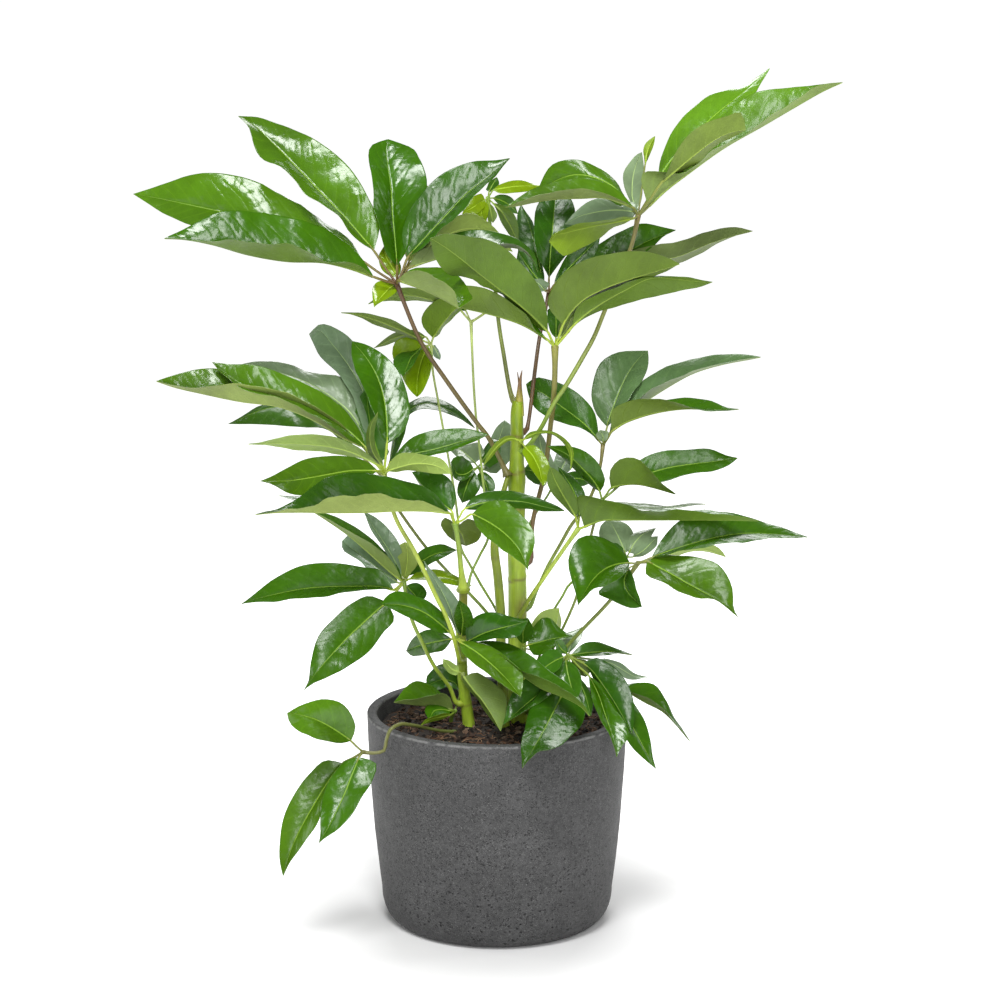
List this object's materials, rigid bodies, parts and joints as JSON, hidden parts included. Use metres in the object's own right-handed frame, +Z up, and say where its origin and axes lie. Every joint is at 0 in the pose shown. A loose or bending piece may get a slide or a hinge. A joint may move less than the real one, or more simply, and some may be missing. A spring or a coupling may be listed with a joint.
{
  "type": "potted umbrella plant",
  "caption": "Umbrella plant with upright stems and long-stalked compound leaves of drooping oval leaflets, growing from soil in a round tapered fibre-clay planter.",
  "frame": {"origin": "centre of the pot's flat underside, on the floor", "axes": "+Z up along the pot's axis; -Y towards the viewer of the picture, +X to that viewer's right"},
  "size_m": [0.7409, 0.3625, 0.9102],
  "materials": {
    "pot_clay": "matte",
    "soil": "matte",
    "stem_green": "satin",
    "leaf_green": "satin",
    "leaf_dark": "satin",
    "leaf_pale": "satin",
    "leaf_young": "satin"
  },
  "bodies": {
    "root": {"pot": "pot_clay", "soil": "soil", "main_stem": "stem_green", "second_stem": "stem_green", "left_stem": "stem_green", "leaf_crown_left": "leaf_green", "leaf_young_top": "leaf_young", "leaf_crown_right": "leaf_green", "leaf_crown_back": "leaf_dark", "leaf_crown_front": "leaf_pale", "leaf_small_upper": "leaf_green", "leaf_small_hanging": "leaf_young", "leaf_left_tier_front": "leaf_green", "leaf_left_tier_back": "leaf_green", "leaf_middle_front": "leaf_green", "leaf_left_low": "leaf_green", "leaf_heart_front": "leaf_green", "leaf_low_front": "leaf_pale", "leaf_sucker_left": "leaf_green", "leaf_low_right": "leaf_green", "leaf_right_low": "leaf_green", "leaf_right_middle": "leaf_pale", "leaf_right_upper": "leaf_green", "leaf_right_back": "leaf_green", "leaf_over_rim": "leaf_green", "leaf_heart_right": "leaf_green", "young_shoot": "leaf_young", "leaf_small_right": "leaf_pale", "leaf_back_left": "leaf_dark", "leaf_back_right": "leaf_dark"}
  },
  "joints": []
}
